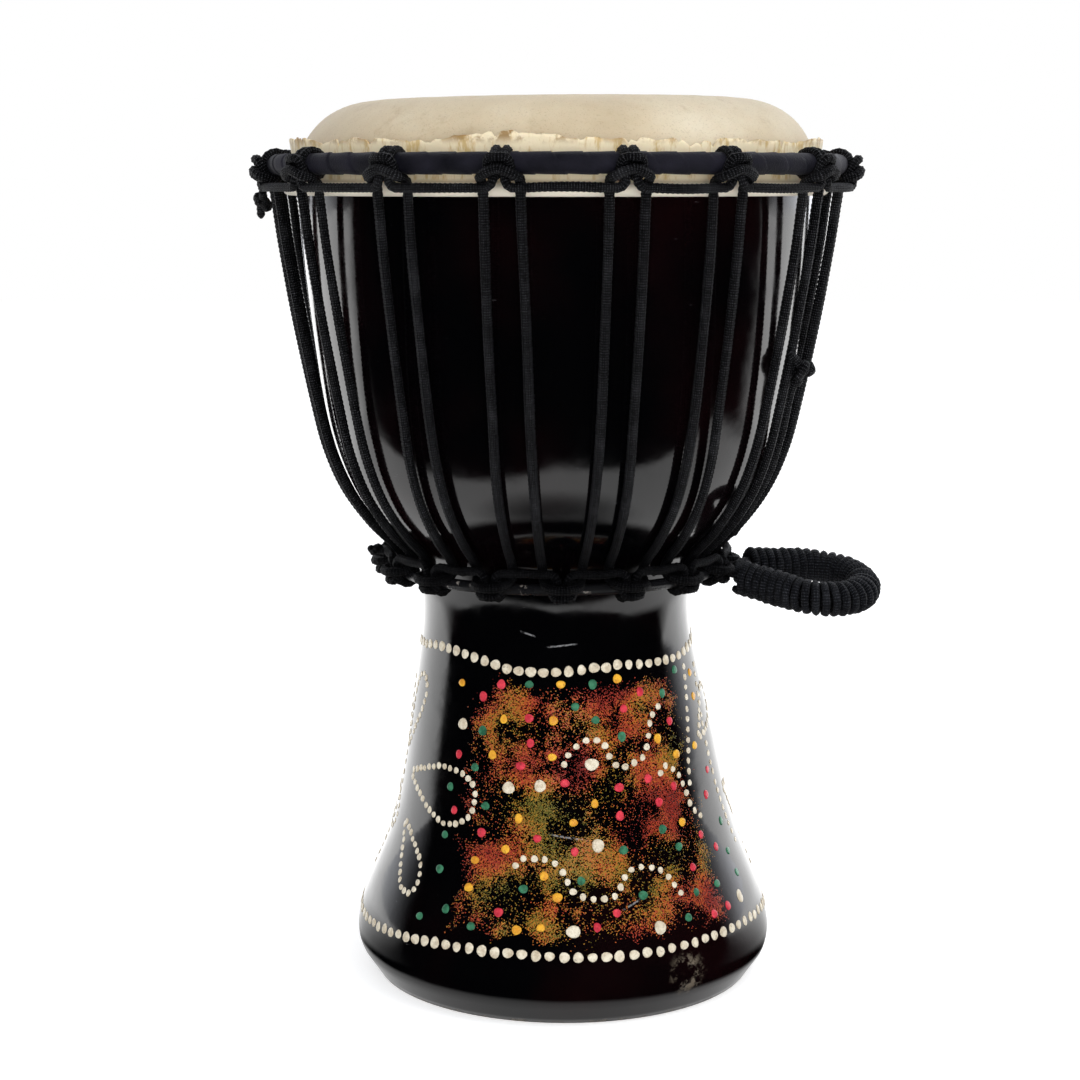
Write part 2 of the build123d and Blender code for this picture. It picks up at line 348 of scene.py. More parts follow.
def carved(radius, height, azimuth, is_outside):
    """How far hand carving leaves the surface from a true turned one, in millimetres."""
    free = min(1.0, max(0.0, (345.0 - height) / 25.0)) * min(1.0, height / 12.0)
    low = min(1.0, max(0.0, (175.0 - height) / 105.0))
    lean = foot_offset * low * low * (3 - 2 * low) * sin(radians(azimuth))
    point = at(azimuth, radius, height)
    if not is_outside:
        return 0.9 * wobble(point, 45, 3.0) * free + lean
    wave = 0.34 * wobble(point, 16, 1.0) + 0.10 * wobble(point, 60, 2.0)
    off = hypot((azimuth - chip_azimuth) * radians(1) * foot_radius, height - chip_height)
    dent = -0.5 * max(0.0, 1 - off / 9.0) * (0.6 + 0.8 * wobble(point, 300, 7.0))
    return wave * free + dent + lean


points = []
for number, (radius, height) in enumerate(outline):
    for column in range(turns):
        azimuth = column * 360.0 / turns
        signed = azimuth if azimuth <= 180 else azimuth - 360
        offset = carved(radius, height, signed, number < len(outside))
        points.append(at(azimuth, radius + offset, height))
shell = mesh_object("shell_carved", points, lathe_faces(len(outline), turns, True))
outer_heights = outside[:, 1]
outer_radii = outside[:, 0]


def shell_radius(height):
    return float(np.interp(height, outer_heights, outer_radii))


def on_shell(azimuth, height):
    """A point on the carved outside, with its level tangent, its rising tangent and its normal."""
    radius = shell_radius(height)
    slope = (shell_radius(height + 1) - shell_radius(height - 1)) / 2
    point = at(azimuth, radius + carved(radius, height, azimuth, True), height)
    a = radians(azimuth)
    out = np.array((sin(a), -cos(a), 0))
    side = np.array((cos(a), sin(a), 0))
    rise = out * slope + np.array((0, 0, 1))
    rise /= np.linalg.norm(rise)
    return point, side, rise, np.cross(side, rise)


lacquer, tree, shader, where = material("black_lacquer")
axes = xyz(tree, where)
azimuth_angle = math(tree, "ARCTAN2", axes["X"], times(tree, axes["Y"], -1.0))
# sponged speckle over two faces of the foot
patch_azimuth = 11.0
facing = math(tree, "COSINE", minus(tree, azimuth_angle, radians(patch_azimuth)))
ragged = times(tree, minus(tree, blotches(tree, where, 40), 0.5), 0.9)
across = plus(tree, math(tree, "ABSOLUTE", facing), times(tree, ragged, 0.6))
ragged_height = plus(tree, axes["Z"], times(tree, ragged, 0.035))
patch = fade(tree, across, 0.69, 0.84)
patch = times(tree, patch, fade(tree, ragged_height, 0.034, 0.046))
patch = times(tree, patch, fade(tree, ragged_height, 0.148, 0.136))
cover = fade(tree, blotches(tree, where, 46, 3.0, 0.62), 0.42, 0.60, 0.08, 0.78)
cover = times(tree, cover, patch)
grain = node(tree, "ShaderNodeSeparateColor", {0: cells(tree, where, 2300.0)["Color"]}).outputs
painted = math(tree, "LESS_THAN", grain[0], cover)
shifted = node(tree, "ShaderNodeVectorMath", {0: where, 1: (0.4, 0.9, 0.2)}).outputs[0]
hue = plus(tree, blotches(tree, shifted, 36, 1.0), times(tree, grain[1], 0.20))
paint = ramp(
    tree, hue,
    [
        (0.42, (0.22, 0.018, 0.014)), (0.53, (0.42, 0.045, 0.020)), (0.62, (0.52, 0.13, 0.022)),
        (0.70, (0.40, 0.20, 0.020)), (0.80, (0.13, 0.12, 0.018)),
    ],
)
paint = mix(tree, times(tree, grain[2], 0.45), paint, (0.03, 0.012, 0.006, 1))
brown = fade(tree, blotches(tree, where, 9, 4.0), 0.42, 0.72)
ground = mix(tree, brown, (0.0007, 0.0007, 0.001, 1), (0.0052, 0.0012, 0.0016, 1))
colour = mix(tree, painted, ground, paint)
# bare wood where the lacquer is chipped, along the foot's edge and in one scuff
edge = fade(tree, axes["Z"], 0.0022, 0.0004)
flakes = fade(tree, blotches(tree, where, 170, 8.0, 0.72), 0.50, 0.62, 0.0, 0.75)
off_azimuth = minus(tree, azimuth_angle, radians(chip_azimuth))
off_azimuth = times(tree, off_azimuth, foot_radius * MM)
off_height = minus(tree, axes["Z"], chip_height * MM)
off_chip = math(tree, "POWER", off_azimuth, 2.0)
off_chip = plus(tree, off_chip, math(tree, "POWER", off_height, 2.0))
chipped = fade(tree, math(tree, "SQRT", off_chip), 0.0120, 0.0035)
chipped = math(tree, "MAXIMUM", chipped, edge)
chipped = times(tree, times(tree, chipped, flakes), 0.8)
colour = mix(tree, chipped, colour, (0.26, 0.21, 0.15, 1))
# fine scratches that run mostly round the drum
level_ways = scaled(tree, where, (1, 1, 14))
hairlines = fade(tree, blotches(tree, level_ways, 95, 5.0, 0.7), 0.70, 0.76)
colour = mix(tree, times(tree, hairlines, 0.30), colour, (0.10, 0.10, 0.11, 1))
# longer scratches by azimuth and height of the middle, half length and drop along it
scratches = (
    (2.0, 164.0, 7.5, -0.10), (4.0, 81.0, 9.5, 0.16), (-12.0, 169.0, 4.0, 0.3), (22.0, 52.0, 5.0, -0.4),
)
for azimuth, height, half, drop in scratches:
    along = minus(tree, azimuth_angle, radians(azimuth))
    along = times(tree, along, shell_radius(height) * MM)
    level = plus(tree, axes["Z"], times(tree, along, drop))
    level = math(tree, "ABSOLUTE", minus(tree, level, height * MM))
    ended = fade(tree, math(tree, "ABSOLUTE", along), half * MM, half * 0.5 * MM)
    drawn = times(tree, fade(tree, level, 0.00055, 0.00015), ended)
    broken = fade(tree, blotches(tree, where, 900, 2.0), 0.40, 0.55)
    drawn = times(tree, drawn, times(tree, broken, 1.6))
    hairlines = math(tree, "MAXIMUM", hairlines, drawn)
colour = mix(tree, times(tree, hairlines, 0.35), colour, (0.35, 0.35, 0.36, 1))
smudge = fade(tree, blotches(tree, where, 55, 5.0, 0.65), 0.40, 0.75, 0.075, 0.19)
rough = plus(tree, smudge, times(tree, hairlines, 0.25))
rough = plus(tree, rough, times(tree, chipped, 0.5))
rough = plus(tree, rough, times(tree, painted, 0.12), True)
relief = times(tree, blotches(tree, where, 85, 2.0), 0.10)
relief = plus(tree, relief, times(tree, painted, 0.05))
relief = minus(tree, relief, times(tree, chipped, 0.25))
wire(tree, shader, Base_Color=colour, Roughness=rough, Normal=bump(tree, relief, 0.0008, 0.8))
shader.inputs["IOR"].default_value = 1.52

bare_wood, tree, shader, where = material("bare_wood")
figure = blotches(tree, scaled(tree, where, (1, 1, 0.06)), 150, 6.0, 0.65)
browns = [(0.30, (0.085, 0.045, 0.022)), (0.55, (0.20, 0.12, 0.06)), (0.75, (0.32, 0.21, 0.12))]
tone = ramp(tree, figure, browns)
gouges = cells(tree, where, 90.0)["Distance"]
relief = plus(tree, gouges, times(tree, figure, 0.4))
wire(tree, shader, Base_Color=tone, Normal=bump(tree, relief, 0.001, 0.7))
wire(tree, shader, Roughness=fade(tree, figure, 0.3, 0.7, 0.6, 0.85))

shell.data.materials.append(lacquer)
shell.data.materials.append(bare_wood)
inside_from = (len(outside) - 1) * turns
for face in shell.data.polygons:
    if face.index >= inside_from:
        face.material_index = 1
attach(shell, "drum")
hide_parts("shell")

# ---- painted dots ----

# one dot's section: (share of its radius, share of its height), with a dimple at its peak
dot_section = [(1.0, -0.6), (0.96, 0.35), (0.78, 0.85), (0.42, 1.0)]
dot_centre = 0.78
dot_sides = 12
dot_lift = 0.42


def dot_group(name, spots, colours):
    """Domed spots of thick paint at (azimuth, height, diameter)."""
    rng = random.Random(name)
    points = []
    faces = []
    for azimuth, height, diameter in spots:
        centre, side, rise, normal = on_shell(azimuth, height)
        base = len(points)
        start = rng.uniform(0, 1)
        squash = rng.uniform(0.9, 1.1)
        size = diameter / 2 * MM
        tall = dot_lift * MM * rng.uniform(0.8, 1.15) * min(1.0, diameter / 4.0)
        for share, lift in dot_section:
            for k in range(dot_sides):
                angle = 2 * pi * (k + start) / dot_sides
                uneven = 1 + 0.05 * sin(angle * 3 + start * 9)
                flat = side * cos(angle) * squash + rise * sin(angle) / squash
                points.append(centre + flat * size * share * uneven + normal * tall * lift)
        points.append(centre + normal * tall * dot_centre)
        rings = len(dot_section)
        for i in range(rings - 1):
            for k in range(dot_sides):
                m = (k + 1) % dot_sides
                low = base + i * dot_sides
                faces.append((low + k, low + m, low + dot_sides + m, low + dot_sides + k))
        top = base + (rings - 1) * dot_sides
        faces.extend((top + k, top + (k + 1) % dot_sides, top + dot_sides) for k in range(dot_sides))
        faces.append(tuple(base + k for k in reversed(range(dot_sides))))
    made = mesh_object(name, points, faces)
    paint, tree, shader, where = material(name)
    tone = ramp(tree, blotches(tree, where, 260, 4.0, 0.7), [(0.35, colours[0]), (0.62, colours[1])])
    dirt = fade(tree, blotches(tree, where, 900, 2.0), 0.60, 0.72, 0.0, 0.45)
    wire(tree, shader, Base_Color=mix(tree, dirt, tone, (0.05, 0.035, 0.02, 1)))
    wire(tree, shader, Roughness=fade(tree, dirt, 0.0, 0.4, 0.32, 0.55))
    wire(tree, shader, Normal=bump(tree, blotches(tree, where, 1400, 2.0), 0.0002, 0.5))
    made.data.materials.append(paint)
    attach(made, "drum")
    return made


def dotted(route, spacing, diameter, seed):
    """Nearly even spots along a route of (azimuth, height)."""
    ground_points = np.array([at(a, shell_radius(z), z) for a, z in route]) / MM
    run = np.concatenate([[0], np.cumsum(np.linalg.norm(np.diff(ground_points, axis=0), axis=1))])
    count = max(2, round(run[-1] / spacing))
    marks = (np.arange(count) + 0.5) * run[-1] / count
    azimuths = np.interp(marks, run, [a for a, _ in route])
    heights = np.interp(marks, run, [z for _, z in route])
    rng = random.Random(seed)
    return [
        (a + rng.gauss(0, 0.10), z + rng.gauss(0, 0.22), diameter * rng.uniform(0.9, 1.1))
        for a, z in zip(azimuths, heights)
    ]


def leaf(azimuth, height, length, width, tilt):
    """A dotted leaf outline, its pointed end open, on the foot's side."""
    route = []
    for step in range(41):
        angle = pi * (0.06 + 1.88 * step / 40)
        x = -length / 2 * cos(angle)
        y = width / 2 * sin(angle) * (0.35 + 0.65 * (1 - cos(angle)))
        turned = (x * cos(tilt) - y * sin(tilt), x * sin(tilt) + y * cos(tilt))
        z = height + turned[1]
        route.append((azimuth + degrees(turned[0] / shell_radius(z)), z))
    return dotted(route, 3.9, 3.1, 5)


def border(middle, waves):
    """A line round the foot that dips and rises, by (rise, waves to a turn, start in degrees)."""
    full_turn = np.linspace(-180, 180, 361)
    return [(a, middle + sum(r * sin(radians(n * a + start)) for r, n, start in waves)) for a in full_turn]


upper_border = border(155.0, ((2.4, 2, -130), (1.5, 5, -30)))
lower_border = border(31.5, ((1.3, 4, 200), (1.6, 2, 60)))
cream = dotted(upper_border, 5.6, 4.6, 1) + dotted(lower_border, 6.2, 4.7, 2)


def step_wave(first, last, middle, rise, waves, climb):
    """A rounded stepped wave from one azimuth to another, that climbs on its way."""
    route = []
    for share in np.linspace(0, 1, 160):
        swing = sin(2 * pi * waves * share)
        height = middle + rise * np.tanh(2.0 * swing) + climb * (share - 0.5)
        route.append((first + (last - first) * share, height))
    return route


leaves = (
    (-49, 95, 50, 21, -0.12), (-58, 63, 36, 13, -0.85), (-74, 125, 38, 13, 1.2),
    (-90, 80, 36, 14, -0.5), (-106, 124, 32, 12, 0.6),
)
for turn in (0.0, 180.0):
    cream += dotted(step_wave(2 + turn, 44 + turn, 118, 9.0, 1.25, 16), 4.8, 3.1, 3)
    cream += dotted(step_wave(-14 + turn, 40 + turn, 62, 7.0, 1.6, -9), 4.9, 3.1, 4)
    cream += dotted(step_wave(38 + turn, 56 + turn, 96, 8.0, 0.8, -14), 4.8, 3.1, 7)
    for azimuth, height, length, width, tilt in leaves:
        cream += leaf(azimuth + turn, height, length, width, tilt)
    for azimuth, low, high in ((58, 96, 150), (76, 62, 148), (92, 46, 140)):
        lean = [(azimuth + turn + 7 * sin(z / 26.0 + azimuth), z) for z in np.linspace(low, high, 40)]
        cream += dotted(lean, 4.6, 2.9, 6)

sprinkle = random.Random(11)
from_others = 10.6
scattered = {"cream": [], "red": [], "green": [], "yellow": []}
taken = [at(a, shell_radius(z), z) / MM for a, z, _ in cream]
for _ in range(5200):
    azimuth = sprinkle.uniform(-180, 180)
    height = sprinkle.uniform(41, 149)
    if abs(cos(radians(azimuth - 13))) < 0.55:
        continue
    place = at(azimuth, shell_radius(height), height) / MM
    kind = sprinkle.choices(("red", "green", "yellow", "cream"), (0.30, 0.27, 0.29, 0.14))[0]
    from_line = 6.4 if kind == "cream" else 5.2
    if any(np.linalg.norm(place - other) < from_line for other in taken[: len(cream)]):
        continue
    if any(np.linalg.norm(place - other) < from_others for other in taken[len(cream) :]):
        continue
    taken.append(place)
    diameter = sprinkle.uniform(5.3, 6.3) if kind == "cream" else sprinkle.uniform(3.7, 4.5)
    scattered[kind].append((azimuth, height, diameter))
dot_group("dots_cream", cream + scattered["cream"], ((0.52, 0.43, 0.30), (0.80, 0.73, 0.58)))
dot_group("dots_red", scattered["red"], ((0.42, 0.012, 0.03), (0.78, 0.05, 0.08)))
dot_group("dots_green", scattered["green"], ((0.012, 0.09, 0.045), (0.05, 0.23, 0.12)))
dot_group("dots_yellow", scattered["yellow"], ((0.62, 0.24, 0.015), (0.86, 0.46, 0.03)))

# ---- goatskin head ----


def ring_of(name):
    """A wire ring's radius, height and wire radius in millimetres."""
    low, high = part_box(name)
    wire_radius = (high.z - low.z) / 2 / MM
    return high.x / MM - wire_radius, (low.z + high.z) / 2 / MM, wire_radius


half_skin = 0.4
hoop_radius, hoop_height, _ = ring_of("flesh_hoop")
crown_radius, crown_height, _ = ring_of("crown_ring")
ring_radius, ring_height, _ = ring_of("bottom_ring")
flap_radius = 118.0
flap_foot = hoop_height + 4.0
flap_top = crown_height + 10.6
stations = 16
station_step = 360.0 / stations
first_station = 12.5
shifts = random.Random(5)
top_azimuths = []
bottom_azimuths = []
for number in range(stations):
    moved = -1.9 if number == 1 else shifts.uniform(-0.55, 0.55)
    top_azimuths.append(first_station + number * station_step + moved)
    bottom_azimuths.append(first_station + (number + 0.5) * station_step + shifts.uniform(-0.5, 0.5))

skin_middle = [
    (np.linspace((0.0, drum_height - half_skin), (rim_flat_radius, drum_height - half_skin), 30)),
    arc((rim_flat_radius, rim_arc_height), rim_round + 0.05 + half_skin, 90, 0, 18)[1:],
    np.array([(116.98, hoop_height + 2.6), (117.12, hoop_height + 1.4)]),
    arc((hoop_radius, hoop_height), 2.45, 188, 450, 22),
    np.array([(119.0, hoop_height + 2.5), (118.35, hoop_height + 3.1)]),
    np.linspace((flap_radius, flap_foot), (flap_radius, flap_top), 14),
]
skin_line = np.vstack(skin_middle)
flap_rows = len(skin_middle[-1])
skin_turns = 600
notches = [
    (random.Random(21 + n).uniform(0, 360), random.Random(90 + n).uniform(0.8, 3.2))
    for n in range(70)
]


def between_hitches(azimuth):
    """0 at a hitch and 1 midway between two."""
    nearest = min(abs((azimuth - a + 180) % 360 - 180) for a in top_azimuths)
    return min(1.0, max(0.0, (nearest - 2.6) / 6.0))


def flap_edge(azimuth):
    """Height of the trimmed edge of the skin."""
    point = at(azimuth, 118, 0)
    height = flap_top + 3.4 * wobble(point, 24, 4.0) + 1.5 * wobble(point, 110, 5.0)
    height += 0.5 * wobble(point, 420, 6.0)
    for place, deep in notches:
        off = abs((azimuth - place + 180) % 360 - 180)
        height -= deep * max(0.0, 1 - off / 0.9)
    return height


columns = []
for column in range(skin_turns):
    azimuth = column * 360.0 / skin_turns
    line = skin_line.copy()
    free = between_hitches(azimuth)
    top = flap_edge(azimuth)
    rise = np.linspace(0, 1, flap_rows)
    point = at(azimuth, 118, 0)
    curl = 2.0 * free * rise**1.6 + 0.35 * wobble(point, 60, 6.0) * rise * free
    line[-flap_rows:, 0] += curl
    line[-flap_rows:, 1] = flap_foot + (top - flap_foot) * rise
    for i in range(len(line) - flap_rows):
        radius, height = line[i]
        spot = at(azimuth, radius, height)
        if height > 366:
            lean = 0.85 + 0.85 * cos(radians(azimuth - 62)) * radius / 100
            up = min(1.0, (height - 366.0) / 22.0)
            bulge = 0.30 * (1 + wobble(spot, 26, 8.0)) + 0.12 * (1 + wobble(spot, 95, 9.0))
            line[i, 1] += up * (lean + bulge)
            line[i, 0] += 0.22 * (1 + wobble(spot, 40, 10.0)) * (radius > 95) * (1 - up)
        elif radius > 119:
            line[i, 0] += (0.28 * wobble(spot, 120, 11.0) + 0.25) * free
    columns.append(line)
skin_grid = np.array(columns)


def skin_side(sign):
    """The skin's middle surface, moved half its thickness to one side."""
    ahead = np.empty_like(skin_grid)
    ahead[:, 1:-1] = skin_grid[:, 2:] - skin_grid[:, :-2]
    ahead[:, 0] = skin_grid[:, 1] - skin_grid[:, 0]
    ahead[:, -1] = skin_grid[:, -1] - skin_grid[:, -2]
    ahead /= np.linalg.norm(ahead, axis=2, keepdims=True)
    normal = np.stack([-ahead[:, :, 1], ahead[:, :, 0]], 2)
    moved = skin_grid + sign * half_skin * normal
    moved[:, 0, 0] = 0.0
    return moved


both = np.concatenate([skin_side(1.0), skin_side(-1.0)[:, ::-1]], axis=1)
rows = both.shape[1]
angles = np.radians(np.arange(skin_turns) * 360.0 / skin_turns)[:, None]
grid = [both[:, :, 0] * np.sin(angles), -both[:, :, 0] * np.cos(angles), both[:, :, 1]]
grid = np.stack(grid, 2) * MM
skin_points = grid.transpose(1, 0, 2)[1:-1].reshape(-1, 3)
upper_pole = len(skin_points)
skin_points = np.vstack([skin_points, grid[:, 0].mean(0), grid[:, -1].mean(0)])
skin_faces = lathe_faces(rows - 2, skin_turns, False)
last_row = (rows - 3) * skin_turns
for j in range(skin_turns):
    k = (j + 1) % skin_turns
    skin_faces.append((j, upper_pole, k))
    skin_faces.append((last_row + j, last_row + k, upper_pole + 1))
skin = mesh_object("head_skin_laid", skin_points, skin_faces)
skin.data.flip_normals()

hide, tree, shader, where = material("goatskin")
axes = xyz(tree, where)
cloudy = blotches(tree, where, 14, 5.0, 0.6)
creams = [(0.30, (0.47, 0.37, 0.235)), (0.52, (0.60, 0.50, 0.345)), (0.72, (0.70, 0.62, 0.47))]
tone = ramp(tree, cloudy, creams)
veins = fade(tree, blotches(tree, where, 65, 6.0, 0.72), 0.56, 0.70, 0.0, 0.35)
tone = mix(tree, veins, tone, (0.40, 0.29, 0.17, 1))
pores = fade(tree, blotches(tree, where, 1500, 2.0), 0.58, 0.66, 0.0, 0.25)
tone = mix(tree, pores, tone, (0.25, 0.17, 0.10, 1))
reach = plus(tree, math(tree, "POWER", axes["X"], 2.0), math(tree, "POWER", axes["Y"], 2.0))
reach = math(tree, "SQRT", reach)
is_flap = times(tree, fade(tree, reach, 0.1168, 0.1176), fade(tree, axes["Z"], 0.3655, 0.3675))
tone = mix(tree, times(tree, is_flap, 0.85), tone, (0.92, 0.80, 0.56, 1))
# painted highlight: the skin folded round the flesh hoop, in the crown ring's shade, is coloured much
# paler so that it looks lit
painted_lit_fold = times(tree, fade(tree, reach, 0.1190, 0.1205), fade(tree, axes["Z"], 0.370, 0.366))
tone = mix(tree, times(tree, painted_lit_fold, 0.9), tone, (0.84, 0.77, 0.64, 1))
upright_ways = scaled(tree, where, (1, 1, 0.25))
streaks = fade(tree, blotches(tree, upright_ways, 190, 4.0, 0.7), 0.48, 0.62, 0.0, 0.85)
streaks = times(tree, streaks, is_flap)
tone = mix(tree, streaks, tone, (0.62, 0.43, 0.16, 1))
tawny = fade(tree, blotches(tree, where, 120, 4.0, 0.7), 0.44, 0.58, 0.0, 0.9)
tawny = times(tree, tawny, fade(tree, axes["Z"], 0.3800, 0.3845))
tawny = times(tree, tawny, is_flap)
tone = mix(tree, tawny, tone, (0.30, 0.17, 0.05, 1))
worn = fade(tree, cloudy, 0.3, 0.7, 0.48, 0.68)
relief = plus(tree, blotches(tree, where, 320, 4.0, 0.6), times(tree, pores, -1.5))
wire(tree, shader, Base_Color=tone, Roughness=worn, Normal=bump(tree, relief, 0.00035, 0.55))
shader.inputs["Subsurface Weight"].default_value = 0.06
shader.inputs["Subsurface Scale"].default_value = 0.002
skin.data.materials.append(hide)
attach(skin, "drum")
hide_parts("head_skin")

# ---- metal rings ----

steel, tree, shader, where = material("ring_steel")
rusty = fade(tree, blotches(tree, where, 120, 5.0), 0.45, 0.65)
wire(tree, shader, Base_Color=mix(tree, rusty, (0.30, 0.29, 0.28, 1), (0.16, 0.07, 0.035, 1)))
wire(tree, shader, Roughness=fade(tree, rusty, 0.0, 1.0, 0.35, 0.75))
wire(tree, shader, Normal=bump(tree, blotches(tree, where, 700), 0.0002, 0.5))
shader.inputs["Metallic"].default_value = 0.8

ring_paint, tree, shader, where = material("bottom_ring_paint")
worn_off = fade(tree, blotches(tree, where, 260, 5.0, 0.7), 0.60, 0.66)
wire(tree, shader, Base_Color=mix(tree, worn_off, (0.006, 0.006, 0.007, 1), (0.20, 0.18, 0.16, 1)))
wire(tree, shader, Roughness=fade(tree, blotches(tree, where, 90), 0.35, 0.7, 0.25, 0.55))
wire(tree, shader, Normal=bump(tree, blotches(tree, where, 500), 0.0002, 0.6))

for name, finish in (("flesh_hoop", steel), ("crown_ring", steel), ("bottom_ring", ring_paint)):
    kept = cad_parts[name]
    kept.data.materials.clear()
    kept.data.materials.append(finish)

# ---- cloth tape on the crown ring ----

tape_radius = (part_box("crown_ring_wrap")[1].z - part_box("crown_ring_wrap")[0].z) / 2 / MM
tape_turns = 62  # a whole number, so the seam closes
tape_along = 1600
tape_round = 22
tape_points = []
for i in range(tape_along):
    azimuth = i * 360.0 / tape_along
    for j in range(tape_round):
        angle = 2 * pi * j / tape_round
        phase = (tape_turns * azimuth / 360.0 + j / tape_round) % 1.0
        lap = 0.34 * phase - 0.20 * max(0.0, 1 - phase / 0.10)
        spot = at(azimuth, crown_radius + 4 * cos(angle), crown_height + 4 * sin(angle))
        thick = tape_radius - 0.22 + lap + 0.16 * wobble(spot, 130, 12.0)
        radius = crown_radius + thick * cos(angle)
        tape_points.append(at(azimuth, radius, crown_height + thick * sin(angle)))
tape_faces = lathe_faces(tape_along, tape_round, True)
tape = mesh_object("crown_ring_tape", tape_points, tape_faces)
tape.data.flip_normals()

cloth, tree, shader, where = material("ring_cloth")
faded = blotches(tree, where, 60, 4.0)
blacks = [(0.3, (0.0035, 0.0035, 0.007)), (0.7, (0.014, 0.013, 0.022))]
wire(tree, shader, Base_Color=ramp(tree, faded, blacks))
threads = cells(tree, where, 1500.0)["Distance"]
wire(tree, shader, Normal=bump(tree, threads, 0.00025, 0.6))
wire(tree, shader, Roughness=fade(tree, faded, 0.3, 0.7, 0.62, 0.82))
shader.inputs["Sheen Weight"].default_value = 0.02
shader.inputs["Specular IOR Level"].default_value = 0.3
tape.data.materials.append(cloth)
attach(tape, "drum")
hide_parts("crown_ring_wrap")

# ---- rope builder ----


def curve_through(points, closed, spacing):
    """Points every few tenths of a millimetre on a smooth curve through the given ones."""
    p = np.array(points, float)
    if closed:
        p = np.vstack([p[-1:], p, p[:2]])
    else:
        p = np.vstack([2 * p[0] - p[1], p, 2 * p[-1] - p[-2]])
    dense = []
    for p0, p1, p2, p3 in zip(p, p[1:], p[2:], p[3:]):
        t1 = sqrt(np.linalg.norm(p1 - p0))
        t2 = t1 + sqrt(np.linalg.norm(p2 - p1))
        t3 = t2 + sqrt(np.linalg.norm(p3 - p2))
        count = max(4, int(np.linalg.norm(p2 - p1) / (spacing * 0.5)))
        t = np.linspace(t1, t2, count, endpoint=False)[:, None]
        a1 = (t1 - t) / t1 * p0 + t / t1 * p1
        a2 = (t2 - t) / (t2 - t1) * p1 + (t - t1) / (t2 - t1) * p2
        a3 = (t3 - t) / (t3 - t2) * p2 + (t - t2) / (t3 - t2) * p3
        b1 = (t2 - t) / t2 * a1 + t / t2 * a2
        b2 = (t3 - t) / (t3 - t1) * a2 + (t - t1) / (t3 - t1) * a3
        dense.append((t2 - t) / (t2 - t1) * b1 + (t - t1) / (t2 - t1) * b2)
    dense = np.vstack(dense + [p[-2][None]])
    run = np.concatenate([[0], np.cumsum(np.linalg.norm(np.diff(dense, axis=0), axis=1))])
    count = max(3, round(run[-1] / spacing))
    marks = np.linspace(0, run[-1], count + 1)
    line = np.stack([np.interp(marks, run, dense[:, k]) for k in range(3)], 1)
    return line[:-1] if closed else line, run[-1]


def turn_about(vector, axis, angle):
    across = np.cross(axis, vector)
    return vector * cos(angle) + across * sin(angle) + axis * np.dot(axis, vector) * (1 - cos(angle))


def rope_frames(line, closed):
    """Tangents and untwisted side vectors along a line."""
    if closed:
        tangents = np.roll(line, -1, 0) - np.roll(line, 1, 0)
    else:
        tangents = np.gradient(line, axis=0)
    tangents /= np.linalg.norm(tangents, axis=1, keepdims=True)
    start = np.cross(tangents[0], (0.31, 0.17, 0.93))
    sides = [start / np.linalg.norm(start)]
    for t in tangents[1:]:
        side = sides[-1] - t * np.dot(sides[-1], t)
        sides.append(side / np.linalg.norm(side))
    sides = np.array(sides)
    if closed:
        last = sides[-1] - tangents[0] * np.dot(sides[-1], tangents[0])
        last /= np.linalg.norm(last)
        gap = atan2(np.dot(np.cross(last, sides[0]), tangents[0]), np.dot(last, sides[0]))
        n = len(sides)
        sides = np.array([turn_about(s, t, gap * i / n) for i, (s, t) in enumerate(zip(sides, tangents))])
    return tangents, sides


braid_pitch = 4.4 * MM
braid_carriers = 4
rope_sides = 16
rope_spacing = 0.72 * MM


def rope(name, routes, body, finish, replaced, sides=rope_sides, spacing=rope_spacing, braid=0.15):
    """Braided ropes along routes of (points, radius, closed), as one piece. Returns it and its length."""
    points = []
    faces = []
    uvs = []
    total = 0.0
    for route, radius, closed in routes:
        line, length = curve_through(route, closed, spacing)
        total += length
        tangents, side = rope_frames(line, closed)
        up = np.cross(tangents, side)
        n = len(line)
        run = np.arange(n) * length / (n if closed else n - 1)
        waves = max(1, round(length / braid_pitch))
        phase = 2 * pi * waves * run / length
        angle = 2 * pi * np.arange(sides) / sides
        weave = np.cos(braid_carriers * angle[None] + phase[:, None])
        weave = weave * np.cos(braid_carriers * angle[None] - phase[:, None])
        size = radius * MM * (1 + braid * weave)
        size = size * (1 + 0.035 * np.sin(run / 0.013 + 1.3 * np.sin(run / 0.031)))[:, None]
        if not closed:
            tip = np.minimum(1, (0.35 + np.minimum(run, length - run) / (radius * MM)))
            size = size * tip[:, None]
        ring = side[:, None] * np.cos(angle)[None, :, None] + up[:, None] * np.sin(angle)[None, :, None]
        base = len(points)
        points.extend((line[:, None] + ring * size[:, :, None]).reshape(-1, 3))
        for i in range(n if closed else n - 1):
            m = (i + 1) % n
            s0 = run[i]
            s1 = length if m == 0 else run[m]
            for j in range(sides):
                k = (j + 1) % sides
                low = base + i * sides
                high = base + m * sides
                faces.append((low + j, low + k, high + k, high + j))
                a0 = j / sides
                a1 = (j + 1) / sides
                uvs.extend((s0, a0, s0, a1, s1, a1, s1, a0))
        if not closed:
            for first, order in ((base, -1), (base + (n - 1) * sides, 1)):
                faces.append(tuple(first + j for j in range(sides))[::order])
                uvs.extend([0.0] * (2 * sides))
    made = mesh_object(name, points, faces)
    layer = made.data.uv_layers.new(name="rope_uv")
    layer.data.foreach_set("uv", np.array(uvs, np.float32))
    made.data.materials.append(finish)
    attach(made, body)
    if replaced:
        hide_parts(*replaced)
    return made, total


